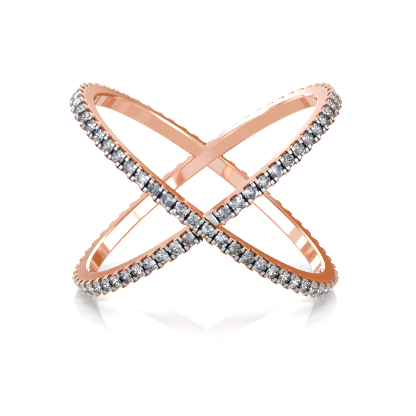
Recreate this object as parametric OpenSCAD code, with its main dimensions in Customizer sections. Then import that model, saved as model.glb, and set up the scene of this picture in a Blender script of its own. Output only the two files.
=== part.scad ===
// Crossover ring: two narrow oval bands lean opposite ways, cross at the front and
// at the back of the finger, and carry a full row of round stones each.
// The finger axis is Z, and the origin is the centre of the finger hole.
// The bands cross at -Y (front) and +Y (back), and turn at the -X and +X sides.

/* [Ring] */
// Inside diameter of the ring, at the middle of each band
finger_d = 17.3; // [14:0.1:22]
// Tilt of each band out of the plane square to the finger
band_tilt = 37; // [25:1:45]
// Metal between the inner wall and the point of each stone
floor_h = 0.85; // [0.6:0.05:1.6]
// Metal beside each stone, on either side of the band
side_margin = 0.125; // [0.1:0.025:0.4]
// Chamfer along both inner edges of each band
inner_chamfer = 0.17; // [0.05:0.01:0.3]

/* [Stones] */
// Diameter of each round stone
stone_d = 1.05; // [0.9:0.05:1.5]
// Space from stone to stone along the row, at the prong tips
stone_gap = 0.2; // [0.17:0.01:0.5]
// Height above the girdle, as a share of the stone's diameter
crown_share = 0.16; // [0.12:0.01:0.2]
// Depth below the girdle, as a share of the stone's diameter
pavilion_share = 0.43; // [0.38:0.01:0.46]
// Width of the table, as a share of the stone's diameter
table_share = 0.57; // [0.5:0.01:0.65]
// Place of the unbroken row's first stone beside the crossing, as a share of its pitch
first_share = 0.25; // [0:0.05:1]
// Metal from the crossing band to the broken row's nearest stone, where it starts
start_margin = 0.6; // [0.1:0.05:1.2]
// Metal from the crossing band to the broken row's nearest stone, where it ends
end_margin = 0.2; // [0.1:0.05:1.2]

/* [Setting] */
// Width of each prong along the band
prong_w = 0.245; // [0.15:0.005:0.3]
// Length of each prong across the band, in from the side wall
prong_len = 0.32; // [0.2:0.01:0.4]
// Height of the prong tips above the stones' tables
tip_rise = 0.05; // [0:0.01:0.15]
// Width of the slit that parts the prongs of neighbouring stones
slit_w = 0.1; // [0.05:0.01:0.2]
// Depth of that slit, from the prong tips
slit_depth = 0.45; // [0.2:0.05:0.6]
// Clearance between a stone and its seat
seat_gap = 0.05; // [0.03:0.01:0.1]

/* [Hidden] */
$fn = 48;

// Straight stretches in each outline of a band
outline_steps = 120;
// Steps in the table that turns a length along the row into an angle
arc_steps = 720;
// Facets round a stone's girdle, and round its table
girdle_sides = 16;
table_sides = girdle_sides / 2;
// Length by which a cutter passes what it cuts, and the gap that parts one band's prongs
// from the other band's side walls
past = 0.3;
hair = 0.02;

stone_r = stone_d / 2;
crown_h = stone_d * crown_share;
pavilion_h = stone_d * pavilion_share;
band_w = stone_d + 2 * side_margin;
girdle_h = floor_h + seat_gap + pavilion_h;
band_h = girdle_h + crown_h + tip_rise;

// Half length and half breadth of the oval inner wall, whose view along the finger is round
half_b = finger_d / 2;
half_a = half_b / cos(band_tilt);

// Direction of the outward normal of the oval at angle t, and the point h out from it
function facing(t) = atan2(half_a * sin(t), half_b * cos(t));
function rim(t, h) =
    [half_a * cos(t) + h * cos(facing(t)), half_b * sin(t) + h * sin(facing(t))];

// Length along the prong tips from the front crossing, paired with the angle there
front_angle = -90;
arc_table = [
    for (i = 0, s = 0; i <= arc_steps;
         s = s + norm(rim(angle_of(i + 1), band_h) - rim(angle_of(i), band_h)), i = i + 1)
        [s, angle_of(i)]
];
function angle_of(i) = front_angle + i * 360 / arc_steps;
row_length = arc_table[arc_steps][0];

// Places of the stones, and of the slits between them, along the unbroken row
unbroken_count = round(row_length / (stone_d + stone_gap));
unbroken_pitch = row_length / unbroken_count;
unbroken_stones = [for (i = [0 : unbroken_count - 1]) (i + first_share) * unbroken_pitch];
unbroken_slits = [for (s = unbroken_stones) s + unbroken_pitch / 2];

// The broken row stops short of the other band at both crossings, so it has two halves
meeting = 2 * band_tilt;
start_s = (band_w / 2 + start_margin + stone_r) / sin(meeting);
end_s = (band_w / 2 + end_margin + stone_r) / sin(meeting);
half_row = row_length / 2 - start_s - end_s;
broken_gaps = round(half_row / (stone_d + stone_gap));
broken_pitch = half_row / broken_gaps;
broken_stones = [
    for (half = [0, 1]) for (i = [0 : broken_gaps])
        half * row_length / 2 + start_s + i * broken_pitch
];
broken_slits = [
    for (half = [0, 1]) for (i = [0 : broken_gaps + 1])
        half * row_length / 2 + start_s + (i - 0.5) * broken_pitch
];

// Puts its child at length s along a row, h above the inner wall, with +Z outward,
// Y along the row and X across the band
module on_row(s, h) {
    t = lookup(s % row_length, arc_table);
    spot = rim(t, h);
    translate([spot.x, spot.y, 0])
        rotate([0, 0, facing(t)])
            rotate([0, 90, 0])
                children();
}

// Tilts a band or its row; the unbroken one leans down towards +X
module unbroken_lean() {
    rotate([0, band_tilt, 0]) children();
}
module broken_lean() {
    rotate([0, -band_tilt, 0]) children();
}

// Flat outline of a band, h out from its inner wall
module outline(h) {
    polygon([for (i = [0 : outline_steps - 1]) rim(i * 360 / outline_steps, h)]);
}

// Stretch of a band w wide, from height low to height high over its inner wall
module shell(w, low, high) {
    linear_extrude(height = w, center = true)
        difference() {
            outline(high);
            outline(low);
        }
}

// Uncut band: its section, chamfered at the inner edges, swept round the oval
module blank() {
    section = [
        [-band_w / 2, band_h],
        [band_w / 2, band_h],
        [band_w / 2, inner_chamfer],
        [band_w / 2 - inner_chamfer, 0],
        [inner_chamfer - band_w / 2, 0],
        [-band_w / 2, inner_chamfer]
    ];
    n = len(section);
    polyhedron(
        points = [
            for (i = [0 : outline_steps - 1]) for (corner = section)
                let (spot = rim(i * 360 / outline_steps, corner[1]))
                    [spot.x, spot.y, corner[0]]
        ],
        faces = [
            for (i = [0 : outline_steps - 1]) for (k = [0 : n - 1])
                let (j = (i + 1) % outline_steps, m = (k + 1) % n)
                    each [[i * n + k, i * n + m, j * n + m], [i * n + k, j * n + m, j * n + k]]
        ]
    );
}

// Seat of one stone: a cone under the girdle and a round hole above it
module seat() {
    translate([0, 0, -pavilion_h])
        cylinder(h = pavilion_h, r1 = seat_gap, r2 = stone_r + seat_gap);
    cylinder(h = crown_h + tip_rise + past, r = stone_r + seat_gap);
}

// U-shaped notch across the band under one stone, which leaves a pair of prongs each side
module notch(pitch) {
    r = pitch / 2 - slit_w / 2 - prong_w;
    rotate([0, 90, 0])
        cylinder(h = band_w + 2 * past, r = r, center = true);
    translate([-band_w / 2 - past, -r, 0])
        cube([band_w + 2 * past, 2 * r, crown_h + tip_rise + past]);
}

// Slit across the band between two stones, and the pocket inside their prongs
module slit() {
    pocket_half = band_w / 2 - prong_len;
    translate([-band_w / 2 - past, -slit_w / 2, -slit_depth])
        cube([band_w + 2 * past, slit_w, slit_depth + past]);
    translate([-pocket_half, -slit_w / 2 - prong_w, -slit_depth])
        cube([2 * pocket_half, slit_w + 2 * prong_w, slit_depth + past]);
}

// A band cut for its stones
module band(stones, slits, pitch) {
    difference() {
        blank();
        for (s = stones) on_row(s, girdle_h) seat();
        for (s = stones) on_row(s, girdle_h) notch(pitch);
        for (s = slits) on_row(s, band_h) slit();
    }
}

// Both bands, cast as one piece of metal. Below the stones the two run through each
// other, and the broken band's prongs stop a hair short of the other's side walls.
module ring_bands() {
    color([0.85, 0.56, 0.45])
        union() {
            unbroken_lean() band(unbroken_stones, unbroken_slits, unbroken_pitch);
            difference() {
                broken_lean() band(broken_stones, broken_slits, broken_pitch);
                unbroken_lean()
                    shell(band_w + 2 * hair, floor_h, band_h + past);
            }
        }
}

// Points of a ring of n corners, with radius r at height z, turned by a share of a side
function corners(n, r, z, turned) =
    [for (i = [0 : n - 1]) [r * cos((i + turned) * 360 / n), r * sin((i + turned) * 360 / n), z]];

// One round stone, girdle at height 0: a table, star and upper facets, and a pavilion
module stone() {
    g = girdle_sides;
    polyhedron(
        points = concat(
            corners(g, stone_r, 0, 0),
            corners(table_sides, stone_d * table_share / 2, crown_h, 0),
            [[0, 0, -pavilion_h]]
        ),
        faces = concat(
            [[for (i = [table_sides - 1 : -1 : 0]) g + i]],
            [for (i = [0 : table_sides - 1]) [g + i, g + (i + 1) % table_sides, 2 * i + 1]],
            [for (i = [0 : table_sides - 1]) [g + i, 2 * i + 1, 2 * i]],
            [for (i = [0 : table_sides - 1]) [g + i, 2 * i, (2 * i + g - 1) % g]],
            [for (i = [0 : g - 1]) [i, (i + 1) % g, g + table_sides]]
        )
    );
}

// Stones of the unbroken row
module unbroken_row_stones() {
    color([0.86, 0.88, 0.92])
        unbroken_lean()
            for (s = unbroken_stones) on_row(s, girdle_h) stone();
}

// Stones of the broken row
module broken_row_stones() {
    color([0.86, 0.88, 0.92])
        broken_lean()
            for (s = broken_stones) on_row(s, girdle_h) stone();
}

ring_bands();
unbroken_row_stones();
broken_row_stones();
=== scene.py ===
"""Looks of the crossover ring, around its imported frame.

Lengths of the ring are in millimetres and become metres where a mesh is made; those of the
floor, the lamp, the polishing marks and the camera's clip distances are in metres. A point of
a band is given as s, the length along its prong tips from the front crossing, v, across the
band, and h, outward from the inner wall.
"""

import math

import bpy
import numpy as np
from mathutils import Matrix, Vector


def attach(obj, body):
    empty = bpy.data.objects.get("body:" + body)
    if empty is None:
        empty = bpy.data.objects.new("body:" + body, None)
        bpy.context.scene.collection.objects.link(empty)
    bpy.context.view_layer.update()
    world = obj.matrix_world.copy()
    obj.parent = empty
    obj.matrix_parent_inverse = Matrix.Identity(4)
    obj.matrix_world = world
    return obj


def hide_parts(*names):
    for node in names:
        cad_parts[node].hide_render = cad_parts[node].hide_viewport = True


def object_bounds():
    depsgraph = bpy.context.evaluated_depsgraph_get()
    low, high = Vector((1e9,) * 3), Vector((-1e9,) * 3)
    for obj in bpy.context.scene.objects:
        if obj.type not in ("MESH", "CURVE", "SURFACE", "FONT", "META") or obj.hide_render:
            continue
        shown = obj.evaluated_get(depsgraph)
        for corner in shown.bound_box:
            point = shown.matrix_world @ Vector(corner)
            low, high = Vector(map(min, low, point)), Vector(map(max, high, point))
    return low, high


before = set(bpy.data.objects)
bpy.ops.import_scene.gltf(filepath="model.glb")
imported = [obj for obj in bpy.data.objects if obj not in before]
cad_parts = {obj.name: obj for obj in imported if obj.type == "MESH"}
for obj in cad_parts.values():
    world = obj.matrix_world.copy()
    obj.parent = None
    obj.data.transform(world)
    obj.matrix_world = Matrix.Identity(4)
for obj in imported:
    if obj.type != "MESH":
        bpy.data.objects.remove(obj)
cad_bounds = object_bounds()

MM = 0.001

# The ring's driving dimensions, as in its CAD source
FINGER_D = 17.3
BAND_TILT = math.radians(37)
FLOOR_H = 0.85
SIDE_MARGIN = 0.125
CHAMFER = 0.17
STONE_D = 1.05
STONE_GAP = 0.2
CROWN_SHARE = 0.16
PAVILION_SHARE = 0.43
TABLE_SHARE = 0.57
ROW_SHIFT = 0.25
START_MARGIN = 0.6
END_MARGIN = 0.2
PRONG_W = 0.245
TIP_RISE = 0.05
SLIT_W = 0.1
SLIT_DEPTH = 0.45
SEAT_GAP = 0.05

STONE_R = STONE_D / 2
HALF_W = STONE_R + SIDE_MARGIN
CROWN_H = STONE_D * CROWN_SHARE
PAVILION_H = STONE_D * PAVILION_SHARE
GIRDLE_H = FLOOR_H + SEAT_GAP + PAVILION_H
BAND_H = GIRDLE_H + CROWN_H + TIP_RISE
POCKET_H = BAND_H - SLIT_DEPTH
HALF_B = FINGER_D / 2
HALF_A = HALF_B / math.cos(BAND_TILT)

# Angle between the two bands where they cross
MEETING = 2 * BAND_TILT


def facing(t):
    """Direction of the oval's outward normal at angle t."""
    return np.arctan2(HALF_A * np.sin(t), HALF_B * np.cos(t))


def rim(t, h):
    """Point of the oval at angle t, h out from the inner wall."""
    a = facing(t)
    return HALF_A * np.cos(t) + h * np.cos(a), HALF_B * np.sin(t) + h * np.sin(a)


# Table that turns a length along the row into an angle of the oval
ARC_STEPS = 7200
ARC_T = np.linspace(-math.pi / 2, 1.5 * math.pi, ARC_STEPS + 1)
TIP_X, TIP_Y = rim(ARC_T, BAND_H)
ARC_S = np.concatenate([[0], np.cumsum(np.hypot(np.diff(TIP_X), np.diff(TIP_Y)))])
ROW_LENGTH = ARC_S[-1]


class Band:
    """One band: its lean, its stones' places, their pitch and the radius of their notches."""

    def __init__(self, name, lean, stones, pitch):
        self.name = name
        self.lean = lean
        self.stones = stones
        self.pitch = pitch
        self.notch_r = pitch / 2 - SLIT_W / 2 - PRONG_W

    def world(self, x, y, z):
        """Row-frame point, in metres, of a point in the band's own frame."""
        c, s = math.cos(self.lean), math.sin(self.lean)
        return np.stack([x * c + z * s, y, -x * s + z * c], -1) * MM

    def place(self, s, v, h):
        """Row-frame points of (s, v, h)."""
        s, v, h = np.broadcast_arrays(*(np.asarray(q, float) for q in (s, v, h)))
        x, y = rim(np.interp(s % ROW_LENGTH, ARC_S, ARC_T), h)
        return self.world(x, y, v)

    def axes(self, s, h):
        """Matrix that stands a stone at s: X along the band, Y across it, Z outward."""
        a = float(facing(np.interp(s % ROW_LENGTH, ARC_S, ARC_T)))
        zero = np.zeros(())
        along = self.world(-math.sin(a) + zero, math.cos(a) + zero, zero) / MM
        across = self.world(zero, zero, 1 + zero) / MM
        out = self.world(math.cos(a) + zero, math.sin(a) + zero, zero) / MM
        m = Matrix(np.column_stack([along, across, out]).tolist()).to_4x4()
        m.translation = Vector(self.place(s, 0, h))
        return m


def unbroken_band():
    """Band that runs through both crossings, with one even row round it."""
    count = round(ROW_LENGTH / (STONE_D + STONE_GAP))
    pitch = ROW_LENGTH / count
    return Band("unbroken", BAND_TILT, [(i + ROW_SHIFT) * pitch for i in range(count)], pitch)


# Places of the broken row's first and last stones, from the crossing
START_S = (HALF_W + START_MARGIN + STONE_R) / math.sin(MEETING)
END_S = (HALF_W + END_MARGIN + STONE_R) / math.sin(MEETING)


def broken_band():
    """Band whose row stops short of the other band at both crossings, in two halves."""
    stretch = ROW_LENGTH / 2 - START_S - END_S
    gaps = round(stretch / (STONE_D + STONE_GAP))
    pitch = stretch / gaps
    stones = [half * ROW_LENGTH / 2 + START_S + i * pitch
              for half in (0, 1) for i in range(gaps + 1)]
    return Band("broken", -BAND_TILT, stones, pitch)


def rounded(path, radii, steps=3):
    """Polyline with each inner corner turned into an arc of its radius."""
    out = []
    for i, (p, r) in enumerate(zip(path, radii)):
        p = np.array(p, float)
        if r == 0:
            out.append(p)
            continue
        before = np.array(path[i - 1], float) - p
        after = np.array(path[(i + 1) % len(path)], float) - p
        before /= np.linalg.norm(before)
        after /= np.linalg.norm(after)
        half = math.acos(np.clip(before @ after, -1, 1)) / 2
        middle = (before + after) / np.linalg.norm(before + after)
        centre = p + middle * r / math.sin(half)
        first = p + before * r / math.tan(half) - centre
        last = p + after * r / math.tan(half) - centre
        turn = math.atan2(first[0] * last[1] - first[1] * last[0], first @ last)
        for k in range(steps + 1):
            a = turn * k / steps
            c, s = math.cos(a), math.sin(a)
            out.append(centre + [first[0] * c - first[1] * s, first[0] * s + first[1] * c])
    return np.array(out)


def new_object(name, verts, faces, materials, indices, smooth_deg=30):
    """Mesh object with a material index for each face, smooth up to that angle."""
    mesh = bpy.data.meshes.new(name)
    mesh.from_pydata([tuple(v) for v in verts], [], faces)
    for material in materials:
        mesh.materials.append(material)
    mesh.polygons.foreach_set("material_index", np.array(indices, np.int32))
    mesh.validate()
    mesh.shade_smooth()
    mesh.set_sharp_from_angle(angle=math.radians(smooth_deg))
    obj = bpy.data.objects.new(name, mesh)
    bpy.context.scene.collection.objects.link(obj)
    weighted = obj.modifiers.new("weighted", "WEIGHTED_NORMAL")
    weighted.keep_sharp = True
    return obj


# Shank: radii of its edges, the straight slack left beside a rounded corner, and half the
# width of the valley that the seats make along its top
EDGE_R = 0.04
TOP_EDGE_R = 0.02
SLACK = 0.01
VALLEY_HALF = 0.42


def shank_section(top):
    """Closed outline of the band below its prongs, as (v, h), with its sides up to height top."""
    low, high = CHAMFER + EDGE_R + SLACK, top - TOP_EDGE_R - 2 * SLACK
    right = rounded(
        [(0, 0), (HALF_W - CHAMFER - EDGE_R - SLACK, 0), (HALF_W - CHAMFER, 0), (HALF_W, CHAMFER),
         (HALF_W, low), (HALF_W, high), (HALF_W, top), (VALLEY_HALF, top),
         (SEAT_GAP, FLOOR_H + SLACK)],
        [0, 0, EDGE_R, EDGE_R, 0, 0, TOP_EDGE_R, 0, 0],
    )[1:]
    left = right[::-1] * [-1, 1]
    return np.concatenate([right, left])


# Stations along a notch's arc, and along half of the flat between two notches
NOTCH_POINTS = 9
FLAT_POINTS = 4


def shank_stations(band):
    """Pairs of place along the band and height of its top, notched under every stone."""
    r = band.notch_r
    edge = math.sqrt(r * r - (GIRDLE_H - POCKET_H) ** 2)
    arc = np.linspace(-edge, edge, NOTCH_POINTS)
    flat = np.linspace(edge, band.pitch / 2, FLAT_POINTS)[1:]
    stations = []
    for s in band.stones:
        stations += [(s - u, POCKET_H) for u in flat[::-1]]
        stations += [(s + u, GIRDLE_H - math.sqrt(r * r - u * u)) for u in arc]
        stations += [(s + u, POCKET_H) for u in flat[:-1]]
    if band.lean < 0:
        stations += crossing_stations(band)
    return sorted(stations)


# Broken band inside the other one: the height of its top, how far from the crossing it starts
# to sink where the row starts and where it ends, the length in which it sinks, the stretch
# that gets even stations and their number, and a hair that keeps two stations apart
BURIED_H = 0.93
SINK_START = 0.95
SINK_END = 0.8
SINK_LENGTH = 0.06
BURIED_STRETCH = (-0.6, 0.7)
BURIED_POINTS = 10
HAIR = 0.001


def crossing_stations(band):
    """Stations of the broken band from its end slits through the other band."""
    out = []
    for middle in (0, ROW_LENGTH / 2):
        first = START_S - band.pitch / 2
        last = END_S - band.pitch / 2
        out += [(middle + first - HAIR, POCKET_H), (middle - last, POCKET_H)]
        sunk_first = min(first, SINK_START) - SINK_LENGTH
        sunk_last = min(last, SINK_END) - SINK_LENGTH
        out += [(middle + sunk_first, BURIED_H), (middle - sunk_last, BURIED_H)]
        out += [(middle + u, BURIED_H) for u in np.linspace(*BURIED_STRETCH, BURIED_POINTS)]
    return [((s + ROW_LENGTH) % ROW_LENGTH, top) for s, top in out]


# Step of the unbroken band's inner wall behind the other's, where they cross at the back: its
# depth, how far from the crossing it starts, and the length in which it deepens
INNER_STEP = 0.1
STEP_REACH = 5.5
STEP_RAMP = 4.6


def inner_step(band, s):
    """Depth of that step at s."""
    if band.lean < 0:
        return 0.0
    near = np.clip((STEP_REACH - abs(s - ROW_LENGTH / 2)) / STEP_RAMP, 0, 1)
    return INNER_STEP * near * near * (3 - 2 * near)


# Material of a stretch of the shank's section, by its place from the middle of the valley:
# 1 shaded plating and 2 notch gold, both darkened as painted shade, and elsewhere 0 gold
VALLEY_PAINTED_SHADE = {0: 1, 1: 1, 2: 2}


def make_shank(band, gold, shaded, notch_shade):
    """The band below its prongs, with a notch under every stone."""
    verts, faces, indices = [], [], []
    stations = shank_stations(band)
    for s, top in stations:
        section = shank_section(top)
        inner = section[:, 1] < CHAMFER + EDGE_R + 2 * SLACK
        section[:, 1] += inner_step(band, s) * inner
        verts.append(band.place(s, section[:, 0], section[:, 1]))
    n = len(verts[0])
    middle = n // 2 - 1
    for i in range(len(stations)):
        j = (i + 1) % len(stations)
        for k in range(n):
            m = (k + 1) % n
            faces.append((i * n + k, i * n + m, j * n + m, j * n + k))
            indices.append(VALLEY_PAINTED_SHADE.get(abs(k - middle), 0))
    return new_object(band.name + "_band", np.concatenate(verts), faces,
                      [gold, shaded, notch_shade], indices, smooth_deg=40)


# Radius, from the stone's middle, where a claw's tip ends over the stone, and the heights
# where every prong starts and from where a claw leans in over its stone
CLAW_R = 0.44
PRONG_FOOT_H = POCKET_H - 0.03
PRONG_WAIST_H = 1.22
PRONG_LEVELS = [
    # height over the inner wall, shrink of the outline, radius kept clear of the stone
    (PRONG_FOOT_H, 0.0, STONE_R + 0.03),
    (PRONG_WAIST_H, 0.0, STONE_R + 0.03),
    (GIRDLE_H + 0.01, 0.0, STONE_R + 0.02),
    (GIRDLE_H + 0.07, 0.0, CLAW_R + 0.02),
    (BAND_H - 0.05, 0.0, CLAW_R),
    (BAND_H - 0.03, 0.04, CLAW_R),
    (BAND_H - 0.013, 0.13, CLAW_R),
    (BAND_H - 0.004, 0.27, CLAW_R),
]
# A crest is a stretch of the band's rim, outside the claws
CREST_LEVELS = [
    (PRONG_FOOT_H, 0.0, 0.0),
    (BAND_H - 0.05, 0.0, 0.0),
    (BAND_H - 0.03, 0.06, 0.0),
    (BAND_H - 0.019, 0.2, 0.0),
]
# Height of a top's middle over its last level
CAP_RISE = 0.004
CREST_W = 0.05
# At each end a crest is wider, by the groove between it and the claws: the length of that
# end and of the slope from it
CREST_END = 0.05
CREST_SLOPE = 0.02
GROOVE_W = 0.05
# Inner end of a claw from the band's middle line, and its reach past the notch's edge
CLAW_IN = 0.2
CLAW_REACH = 0.08
PRONG_EDGE_R = 0.025
CLAW_EDGE_R = 0.06
# Distance that keeps the prongs' outer faces just inside the shank's sides
INSET = 0.003
PRONG_OUTER = HALF_W - INSET


def add_prong(band, corners, stone_s, part, verts, faces, indices):
    """Adds a claw, a crest or a block over the outline with those (s, v) corners."""
    edge_r = CLAW_EDGE_R if part == "claw" else PRONG_EDGE_R
    outline = rounded(corners, [edge_r] * len(corners))
    middle = outline.mean(0)
    start = sum(len(v) for v in verts)
    n = len(outline)
    levels = CREST_LEVELS if part == "crest" else PRONG_LEVELS
    for h, shrink, clear_r in levels:
        ring = outline + (middle - outline) * shrink
        if part == "claw":
            away = ring - [stone_s, 0]
            distance = np.linalg.norm(away, axis=1)
            ring = [stone_s, 0] + away * (np.maximum(distance, clear_r) / distance)[:, None]
        verts.append(band.place(ring[:, 0], ring[:, 1], h))
    verts.append(band.place(middle[0], middle[1], levels[-1][0] + CAP_RISE)[None])
    # Each side is gold, plated, or plated and darkened as painted shade
    finish_and_shade = [side_finish_and_shade(outline[k], outline[(k + 1) % n], middle, stone_s, part)
              for k in range(n)]
    straight = sum(shrink == 0 for _, shrink, _ in levels) - 1
    top = 0 if part == "crest" else 1
    for i in range(len(levels) - 1):
        for k in range(n):
            m = (k + 1) % n
            a = start + i * n
            faces.append((a + k, a + m, a + n + m, a + n + k))
            indices.append(finish_and_shade[k] if i < straight else top)
    last = start + (len(levels) - 1) * n
    for k in range(n):
        faces.append((last + k, last + (k + 1) % n, last + n))
        indices.append(top)
    faces.append(tuple(start + k for k in range(n - 1, -1, -1)))
    indices.append(0)


# Cosine past which a side counts as facing along or across the band
FACING = 0.7


def side_finish_and_shade(p, q, middle, stone_s, part):
    """Material of the side from p to q: 0 gold, 1 plated, 2 plated and darkened as painted shade.
    """
    side = q - p
    normal = np.array([side[1], -side[0]]) / np.linalg.norm(side)
    if normal @ ((p + q) / 2 - middle) < 0:
        normal = -normal
    across = normal[1] * (1 if part == "block" else np.sign(middle[1]))
    if part == "crest":
        return 2 if across < -FACING else 0
    if part == "block":
        return 0 if abs(across) > FACING else 2
    slit = normal[0] * np.sign(middle[0] - stone_s) > FACING
    return 2 if slit or across > FACING else 1


def make_prongs(band, gold, plating, shaded):
    """Crests, claws and end blocks of a band, as one mesh."""
    verts, faces, indices = [], [], []
    near, far = band.notch_r, band.pitch / 2 - SLIT_W / 2
    for i, s in enumerate(band.stones):
        gap = (band.stones[(i + 1) % len(band.stones)] - s) % ROW_LENGTH
        neighbours = gap < 1.5 * band.pitch
        spans = [(near, gap - near)] if neighbours else [(near, far), (gap - far, gap - near)]
        for side in (-1, 1):
            outer, rim_v = side * PRONG_OUTER, side * (HALF_W - CREST_W)
            groove = side * (HALF_W - CREST_W - GROOVE_W)
            for s0, s1 in spans:
                first, last = s + s0 + CREST_END, s + s1 - CREST_END
                corners = [(s + s0, groove), (first, groove), (first + CREST_SLOPE, rim_v),
                           (last - CREST_SLOPE, rim_v), (last, groove), (s + s1, groove),
                           (s + s1, outer), (s + s0, outer)]
                add_prong(band, corners, s, "crest", verts, faces, indices)
            for turn in (-1, 1):
                corners = [(s + turn * (near - CLAW_REACH), side * CLAW_IN),
                           (s + turn * far, side * CLAW_IN), (s + turn * far, groove),
                           (s + turn * near, groove)]
                add_prong(band, corners, s, "claw", verts, faces, indices)
    if band.lean < 0:
        add_end_blocks(band, verts, faces, indices)
    return new_object(band.name + "_prongs", np.concatenate(verts), faces,
                      [gold, plating, shaded], indices, smooth_deg=50)


# End blocks: the gap along the band to the other band's side wall, the shortest side along the
# band, and the share of the half width that the start's block takes on its lower side
BLOCK_GAP = 0.1
SHORTEST_SIDE = 0.1
START_BLOCK_SHARE = 0.45


def add_end_blocks(band, verts, faces, indices):
    """Adds the blocks of metal between the broken row's end slits and the other band."""
    sine = math.sin(MEETING)
    for half in (0, 1):
        middle = half * ROW_LENGTH / 2
        for side, reach in ((1, START_S), (-1, END_S)):
            slope = side * math.cos(MEETING) * (-1 if half else 1)
            slit = reach - band.pitch / 2 - SLIT_W / 2
            v0 = -PRONG_OUTER * START_BLOCK_SHARE if side > 0 else -PRONG_OUTER
            v1 = PRONG_OUTER
            if half:
                v0, v1 = -v1, -v0
            s0, s1 = ((HALF_W - slope * v) / sine + BLOCK_GAP for v in (v0, v1))
            if slit - min(s0, s1) < SHORTEST_SIDE:
                continue
            near = slit - SHORTEST_SIDE
            near_v = (HALF_W - (near - BLOCK_GAP) * sine) / slope
            if s0 > near:
                s0, v0 = near, near_v
            if s1 > near:
                s1, v1 = near, near_v
            corners = [(s0, v0), (slit, v0), (slit, v1), (s1, v1)]
            corners = [(middle + side * s, v) for s, v in corners]
            if side < 0:
                corners = corners[::-1]
            add_prong(band, corners, 0, "block", verts, faces, indices)


# Cut of the stones: where the star and the lower facets end, as shares of the way out and in,
# how far their points lie off the straight line there, and the girdle's thickness
STAR_SHARE = 0.5
LOWER_SHARE = 0.78
STAR_BULGE = 1.06
LOWER_BULGE = 0.985
GIRDLE_T = 0.02


def brilliant():
    """Points and faces of a round brilliant of 57 facets, with its girdle at height 0."""
    def ring(count, r, z, turned=0.0):
        return [(r * math.cos((i + turned) * math.tau / count),
                 r * math.sin((i + turned) * math.tau / count), z) for i in range(count)]

    table_r = STONE_R * TABLE_SHARE
    star_r = table_r * math.cos(math.pi / 8) * (1 - STAR_SHARE) + STONE_R * STAR_SHARE
    star_z = CROWN_H * (STONE_R - star_r) / (STONE_R - table_r) * STAR_BULGE
    lower_r = STONE_R * (1 - LOWER_SHARE)
    lower_z = -PAVILION_H * LOWER_SHARE * LOWER_BULGE
    points = (ring(8, table_r, CROWN_H) + ring(8, star_r, star_z, 0.5)
              + ring(16, STONE_R, GIRDLE_T / 2) + ring(16, STONE_R, -GIRDLE_T / 2)
              + ring(8, lower_r, lower_z, 0.5) + [(0, 0, -PAVILION_H)])
    table, star, upper, lower, waist, culet = 0, 8, 16, 32, 48, 56
    crown, girdle, pavilion = [tuple(range(8))], [], []
    for i in range(8):
        j = (i + 1) % 8
        before = (i - 1) % 8
        g0, g1, g2 = 2 * i, 2 * i + 1, (2 * i + 2) % 16
        crown.append((table + i, star + i, table + j))
        crown.append((table + i, star + before, upper + g0, star + i))
        crown.append((star + i, upper + g0, upper + g1))
        crown.append((star + i, upper + g1, upper + g2))
        pavilion.append((lower + g0, waist + i, lower + g1))
        pavilion.append((lower + g1, waist + i, lower + g2))
        pavilion.append((lower + g0, waist + before, culet, waist + i))
    for i in range(16):
        j = (i + 1) % 16
        girdle.append((upper + i, lower + i, lower + j, upper + j))
    return np.array(points), crown, girdle, pavilion


def make_stones(band, crystal, back):
    """The band's row of stones, each facet with its own random number for its painted brightness.
    """
    points, crown, girdle, pavilion = brilliant()
    verts, faces, indices = [], [], []
    draw = np.random.default_rng(len(band.stones))
    for s in band.stones:
        start = sum(len(v) for v in verts)
        m = band.axes(s, GIRDLE_H)
        verts.append(np.array([m @ Vector(p * MM) for p in points]))
        for group, index in ((crown, 0), (girdle, 0), (pavilion, 1)):
            for face in group:
                faces.append(tuple(start + k for k in face))
                indices.append(index)
    obj = new_object(band.name + "_stones", np.concatenate(verts), faces, [crystal, back],
                     indices, smooth_deg=1)
    facet = obj.data.attributes.new("facet", "FLOAT", "FACE")
    facet.data.foreach_set("value", draw.random(len(faces)).astype(np.float32))
    return obj


def new_material(name):
    """Material with its nodes, its links and its main shader."""
    material = bpy.data.materials.new(name)
    material.use_nodes = True
    nodes = material.node_tree.nodes
    return material, nodes, material.node_tree.links, nodes["Principled BSDF"]


# Depth of the polishing marks
BUMP_M = 0.00002


def polish(nodes, links, shader, scale, roughness, bump):
    """Fine polishing marks: a slight change of gloss, and a very shallow bump."""
    place = nodes.new("ShaderNodeTexCoord")
    noise = nodes.new("ShaderNodeTexNoise")
    noise.inputs["Scale"].default_value = scale
    noise.inputs["Detail"].default_value = 4
    links.new(place.outputs["Object"], noise.inputs["Vector"])
    spread = nodes.new("ShaderNodeMapRange")
    spread.inputs["To Min"].default_value = roughness[0]
    spread.inputs["To Max"].default_value = roughness[1]
    links.new(noise.outputs["Fac"], spread.inputs["Value"])
    links.new(spread.outputs["Result"], shader.inputs["Roughness"])
    dents = nodes.new("ShaderNodeBump")
    dents.inputs["Strength"].default_value = bump
    dents.inputs["Distance"].default_value = BUMP_M
    links.new(noise.outputs["Fac"], dents.inputs["Height"])
    links.new(dents.outputs["Normal"], shader.inputs["Normal"])


def rose_gold():
    """Gold of the bands and of the crests."""
    material, nodes, links, shader = new_material("rose_gold")
    shader.inputs["Base Color"].default_value = (0.86, 0.54, 0.42, 1)
    shader.inputs["Metallic"].default_value = 1
    polish(nodes, links, shader, scale=900, roughness=(0.05, 0.1), bump=0.1)
    return material


def painted_shade_gold():
    """Gold inside the notches, darker and deeper orange than the rose gold: painted shade for
    light that has met gold several times there.
    """
    material, nodes, links, shader = new_material("painted_shade_gold")
    # Base colour darkened to stand for the notches' shade: painted shade
    shader.inputs["Base Color"].default_value = (0.68, 0.26, 0.11, 1)
    shader.inputs["Metallic"].default_value = 1
    polish(nodes, links, shader, scale=1500, roughness=(0.25, 0.4), bump=0.2)
    return material


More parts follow.
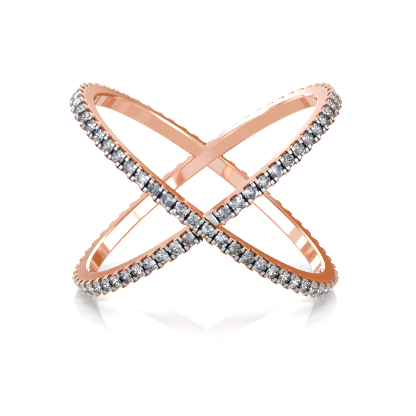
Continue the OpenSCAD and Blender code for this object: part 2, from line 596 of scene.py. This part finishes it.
def white_plating():
    """Bright plating on the claws."""
    material, nodes, links, shader = new_material("white_plating")
    shader.inputs["Base Color"].default_value = (0.61, 0.65, 0.69, 1)
    shader.inputs["Metallic"].default_value = 1
    polish(nodes, links, shader, scale=1500, roughness=(0.1, 0.2), bump=0.2)
    return material


def shaded_plating():
    """The same plating in the slits, grooves and seats, where little light gets in."""
    material, nodes, links, shader = new_material("shaded_plating")
    shader.inputs["Base Color"].default_value = (0.1, 0.105, 0.11, 1)
    shader.inputs["Metallic"].default_value = 0
    shader.inputs["Specular IOR Level"].default_value = 0.2
    polish(nodes, links, shader, scale=1500, roughness=(0.4, 0.6), bump=0.2)
    return material


def crystal_face():
    """Clear crowns and girdles of the stones."""
    material, nodes, links, shader = new_material("crystal")
    shader.inputs["Base Color"].default_value = (0.98, 0.985, 1, 1)
    shader.inputs["Transmission Weight"].default_value = 1
    shader.inputs["IOR"].default_value = 1.8
    shader.inputs["Roughness"].default_value = 0
    return material


# Painted sparkle: tone of a facet's mirror back, standing in for the light it returns, from each
# share of the facets on
PAINTED_SPARKLE_TONES = [
    (0.0, (0.15, 0.155, 0.165)),
    (0.2, (0.42, 0.43, 0.44)),
    (0.45, (0.7, 0.71, 0.71)),
    (0.72, (0.95, 0.95, 0.95)),
    (0.95, (0.5, 0.53, 0.75)),
]


def set_stops(ramp, stops):
    """Gives a colour ramp those stops, as (position, colour)."""
    elements = ramp.color_ramp.elements
    while len(elements) < len(stops):
        elements.new(0.5)
    for element, (position, colour) in zip(elements, stops):
        element.position = position
        element.color = (*colour, 1)


def painted_sparkle_back():
    """Mirror-bright backs of the stones, each facet tinted by its random tone as painted sparkle
    for its own share of light.
    """
    material, nodes, links, shader = new_material("painted_sparkle_back")
    facet = nodes.new("ShaderNodeAttribute")
    facet.attribute_name = "facet"
    ramp = nodes.new("ShaderNodeValToRGB")
    ramp.color_ramp.interpolation = "CONSTANT"
    # Each facet's colour is a painted sparkle tone: dark, grey, white or blue
    set_stops(ramp, PAINTED_SPARKLE_TONES)
    links.new(facet.outputs["Fac"], ramp.inputs["Fac"])
    links.new(ramp.outputs["Color"], shader.inputs["Base Color"])
    shader.inputs["Metallic"].default_value = 1
    shader.inputs["Roughness"].default_value = 0.03
    return material


def floor_material():
    """Pale floor that glows a little, so that it comes out nearly white."""
    material, nodes, links, shader = new_material("floor")
    shader.inputs["Base Color"].default_value = (0.93, 0.94, 0.95, 1)
    shader.inputs["Roughness"].default_value = 0.03
    shader.inputs["Specular IOR Level"].default_value = 0.15
    shader.inputs["Emission Color"].default_value = (1, 1, 1, 1)
    shader.inputs["Emission Strength"].default_value = 0.45
    return material


# Camera: fitted to the photo's view of the two bands, with a lens 1 percent longer than the
# fit gave. CENTRE_PX is where the ring's centre falls in a frame of FRAME_PX.
VIEW_AZ = math.radians(0.56)
VIEW_EL = math.radians(16.82)
VIEW_DIST = 165.0
FOCAL_PX = 2167.0
FRAME_PX = 416
CENTRE_PX = (205.6, 188.7)
ROLL = math.radians(0.06)


def make_camera():
    """Camera at the photo's angle, whose small shift puts the ring's centre in its place."""
    camera = bpy.data.cameras.new("camera")
    camera.sensor_width = 36
    camera.lens = FOCAL_PX / FRAME_PX * camera.sensor_width
    half = FRAME_PX / 2
    camera.shift_x = (half - CENTRE_PX[0]) / FRAME_PX
    camera.shift_y = (CENTRE_PX[1] - half) / FRAME_PX
    camera.clip_start = 0.005
    camera.clip_end = 20
    obj = bpy.data.objects.new("camera", camera)
    bpy.context.scene.collection.objects.link(obj)
    back = Vector((math.sin(VIEW_AZ) * math.cos(VIEW_EL), -math.cos(VIEW_AZ) * math.cos(VIEW_EL),
                   math.sin(VIEW_EL)))
    turn = back.to_track_quat("Z", "Y").to_matrix().to_4x4()
    turn = turn @ Matrix.Rotation(ROLL, 4, "Z")
    turn.translation = back * VIEW_DIST * MM
    obj.matrix_world = turn
    bpy.context.scene.camera = obj


# Half the side of the floor, in metres
FLOOR_M = 3.0


def make_floor():
    """Floor under the ring's lowest point, which the ring doesn't mirror."""
    low = cad_bounds[0][2]
    corners = [(x * FLOOR_M, y * FLOOR_M, low) for x, y in ((-1, -1), (1, -1), (1, 1), (-1, 1))]
    obj = new_object("floor", corners, [(0, 1, 2, 3)], [floor_material()], [0])
    obj.visible_glossy = False


# Studio round the ring, as patches of light. Azimuth 0 is behind the ring as the camera
# sees it and 90 is at its right. Level 0 is deep and warm, 0.66 a white wall and 1 a bright
# panel. A later patch covers an earlier one.
BASE_LEVEL = 0.5
PATCHES = [
    # azimuth, elevation, half width, half height, softness in degrees, level
    (115, -55, 62, 38, 8, 0.36),
    (-115, -55, 62, 38, 8, 0.36),
    (180, -55, 30, 36, 8, 0.4),
    (90, -50, 7, 12, 6, 0.46),
    (125, -46, 7, 12, 6, 0.46),
    (180, -2, 32, 14, 10, 0.66),
    (158, 0, 3, 4, 2, 1.0),
    (0, 90, 181, 18, 8, 0.26),
    (141, 15, 14, 10, 3, 1.0),
    (-141, 15, 14, 10, 3, 1.0),
    (98, -9, 20, 7, 3, 0.08),
    (-100, -9, 18, 7, 3, 0.08),
    (-114, 22, 36, 7.5, 3, 1.0),
    (-96, 17, 8, 14, 3, 0.64),
    (-72, 17, 5, 12, 2, 0.22),
    (-62, 17, 6, 12, 3, 0.5),
    (-52, 17, 5, 12, 3, 0.25),
    (-66, -2, 14, 6, 4, 0.75),
    (-39, 6, 8, 13, 3, 1.0),
    (-2, 42, 17, 35.2, 0.8, 0.68),
    (-14, 20, 7, 10, 3, 0.4),
    (4, 38, 11, 28, 3, 1.0),
    (-13.7, 4.7, 1.1, 1.0, 0.4, 1.0),
    (-19.5, 2.3, 1.5, 0.9, 1, 0.06),
    (-24, 0, 2.5, 5, 2, 0.2),
    (12.4, 7.2, 1.0, 0.7, 0.8, 0.36),
    (-16.8, 2.6, 1.6, 1.4, 1, 0.4),
    (110, 24, 35, 5.5, 2, 1.0),
    (70, 20, 3, 20, 2, 0.28),
    (12.2, 0, 1.4, 6.9, 0.4, 0.0),
    (14.7, 0, 1.7, 6.1, 0.5, 0.0),
    (37.7, 4, 22.4, 16, 3, 0.0),
    (16.3, 3.8, 0.8, 0.5, 0.5, 0.4),
    (32.5, 6, 3.5, 5, 3, 0.5),
    (24, 2, 3, 3, 3, 0.25),
    (52, -29, 13, 8, 3, 0.2),
    (20, -31, 5, 5, 4, 0.12),
    (60, -47, 5, 5, 2, 0.12),
]
# Colour of the studio at each level
LEVEL_COLOURS = [
    (0.0, (0.6, 0.23, 0.08)),
    (0.36, (0.88, 0.72, 0.6)),
    (0.66, (1.0, 1.06, 1.12)),
    (1.0, (2.4, 2.5, 2.6)),
]


def make_world():
    """The studio, which mirrors and stones show and which doesn't light the floor."""
    world = bpy.data.worlds.new("studio")
    bpy.context.scene.world = world
    world.use_nodes = True
    world.cycles_visibility.diffuse = False
    nodes, links = world.node_tree.nodes, world.node_tree.links

    def math_node(operation, *values):
        """Result of a math node fed with numbers or sockets."""
        node = nodes.new("ShaderNodeMath")
        node.operation = operation
        for socket, value in zip(node.inputs, values):
            if isinstance(value, (int, float)):
                socket.default_value = value
            else:
                links.new(value, socket)
        return node.outputs[0]

    def edge(distance, half, soft):
        """1 within half of a patch's middle line and 0 outside, with a soft step between."""
        node = nodes.new("ShaderNodeMapRange")
        node.interpolation_type = "SMOOTHSTEP"
        node.inputs["From Min"].default_value = half + soft / 2
        node.inputs["From Max"].default_value = half - soft / 2
        links.new(distance, node.inputs["Value"])
        return node.outputs["Result"]

    place = nodes.new("ShaderNodeTexCoord")
    split = nodes.new("ShaderNodeSeparateXYZ")
    links.new(place.outputs["Generated"], split.inputs["Vector"])
    x, y, z = (split.outputs[k] for k in "XYZ")
    azimuth = math_node("DEGREES", math_node("ARCTAN2", x, y))
    elevation = math_node("DEGREES", math_node("ARCSINE", z))
    level = BASE_LEVEL
    for az, el, half_az, half_el, soft, value in PATCHES:
        aside = math_node("ABSOLUTE", math_node("WRAP", math_node("SUBTRACT", azimuth, az),
                                                180.0, -180.0))
        above = math_node("ABSOLUTE", math_node("SUBTRACT", elevation, el))
        mask = math_node("MULTIPLY", edge(aside, half_az, soft), edge(above, half_el, soft))
        change = math_node("MULTIPLY", mask, math_node("SUBTRACT", value, level))
        level = math_node("ADD", level, change)
    ramp = nodes.new("ShaderNodeValToRGB")
    set_stops(ramp, LEVEL_COLOURS)
    links.new(level, ramp.inputs["Fac"])
    links.new(ramp.outputs["Color"], nodes["Background"].inputs["Color"])


# Lamp: diameter and height in metres, and power in watts
LAMP_D = 1.2
LAMP_M = 0.9
LAMP_W = 9


def make_lights():
    """A soft lamp from above that whitens the floor round the ring's shadow."""
    light = bpy.data.lights.new("overhead", "AREA")
    light.shape = "DISK"
    light.size = LAMP_D
    light.energy = LAMP_W
    obj = bpy.data.objects.new("overhead", light)
    bpy.context.scene.collection.objects.link(obj)
    obj.location = (0, 0, LAMP_M)
    obj.visible_glossy = False
    obj.visible_transmission = False


def main():
    """Builds the ring's pieces round the frame, then the camera, floor, studio and lamp."""
    gold = rose_gold()
    notch_shade = painted_shade_gold()
    plating = white_plating()
    shaded = shaded_plating()
    crystal = crystal_face()
    back = painted_sparkle_back()
    make_camera()
    metal, prongs, rows = [], [], []
    for band, node in ((unbroken_band(), "unbroken_row_stones"),
                       (broken_band(), "broken_row_stones")):
        metal.append(make_shank(band, gold, shaded, notch_shade))
        prongs.append(make_prongs(band, gold, plating, shaded))
        stones = make_stones(band, crystal, back)
        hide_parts(node)
        rows.append(stones)
    for piece in metal:
        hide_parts("ring_bands")
    for piece in prongs:
        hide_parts("ring_bands")
    for piece in metal + prongs + rows:
        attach(piece, "root")
    make_floor()
    make_world()
    make_lights()
    bpy.context.scene.view_settings.view_transform = "Standard"
    bpy.context.scene.cycles.use_denoising = True
    bpy.context.scene.cycles.caustics_reflective = False
    bpy.context.scene.cycles.filter_width = 1.1


main()
